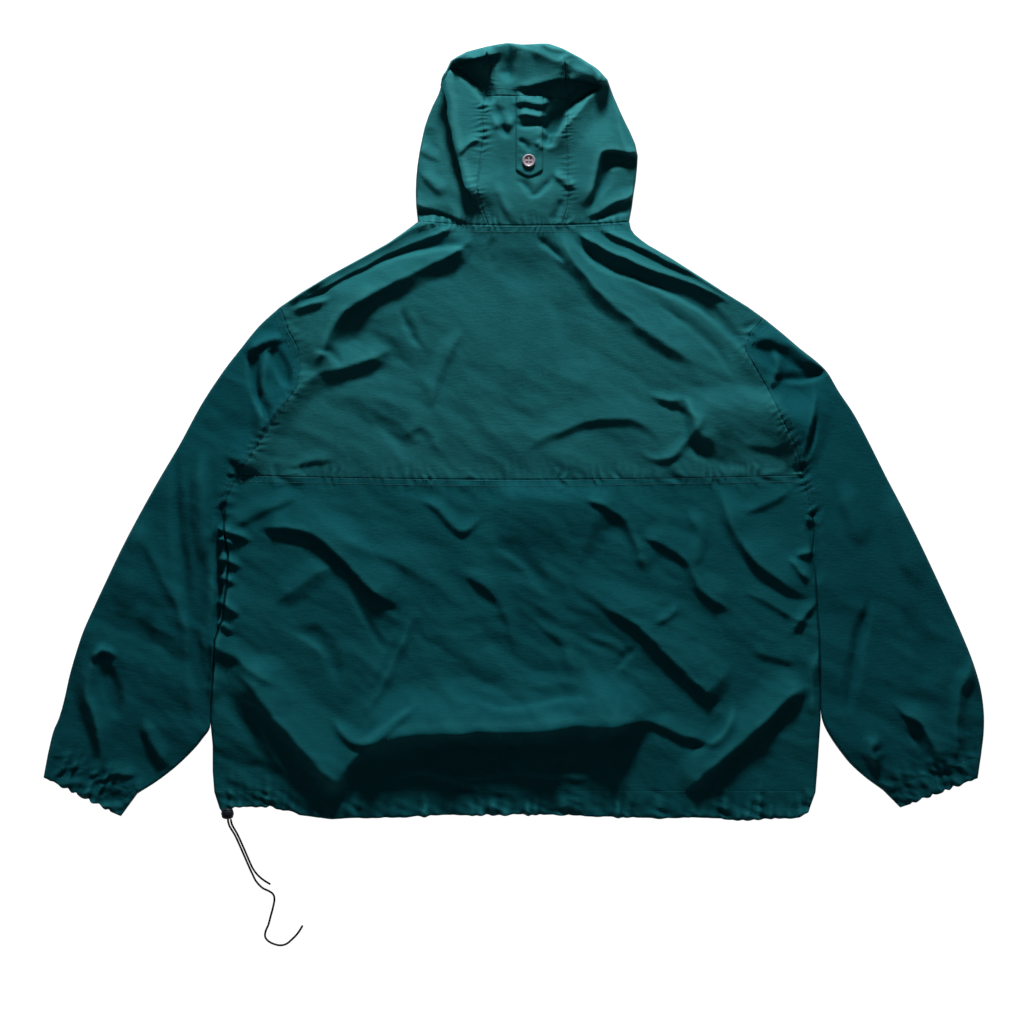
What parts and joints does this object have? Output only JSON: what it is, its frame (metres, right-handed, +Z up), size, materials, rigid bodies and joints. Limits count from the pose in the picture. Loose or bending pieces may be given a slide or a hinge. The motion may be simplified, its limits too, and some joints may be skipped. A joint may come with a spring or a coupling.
{
  "type": "anorak smock",
  "caption": "Hooded pullover anorak lying flat, face down, with long sleeves, elastic cuffs, a gathered hem tunnel and a free drawcord at the hem.",
  "frame": {"origin": "middle of the garment's box on the surface it lies on, at the underside of its front", "axes": "+X towards the cuff at the right of the picture, +Y towards the hood, +Z up out of the surface"},
  "size_m": [1.09, 1.0462, 0.044],
  "materials": {
    "cloth_upper": "woven nylon, slight sheen",
    "cloth_lower": "woven nylon, slight sheen",
    "button": "polished",
    "stopper": "moulded",
    "cord": "braided"
  },
  "bodies": {
    "root": {"back_yoke": "cloth_upper", "back_lower": "cloth_lower", "front_panel": "cloth_lower", "hem_band_back": "cloth_lower", "hem_band_front": "cloth_lower", "sleeve_left": "cloth_lower", "cuff_left": "cloth_lower", "sleeve_right": "cloth_lower", "cuff_right": "cloth_lower", "hood_side_left": "cloth_upper", "hood_side_right": "cloth_upper", "hood_centre": "cloth_upper", "hood_crown": "cloth_upper", "hood_tab": "cloth_upper", "hood_button": "button", "cord_stopper": "stopper", "drawcord_long": "cord", "drawcord_short": "cord"}
  },
  "joints": []
}
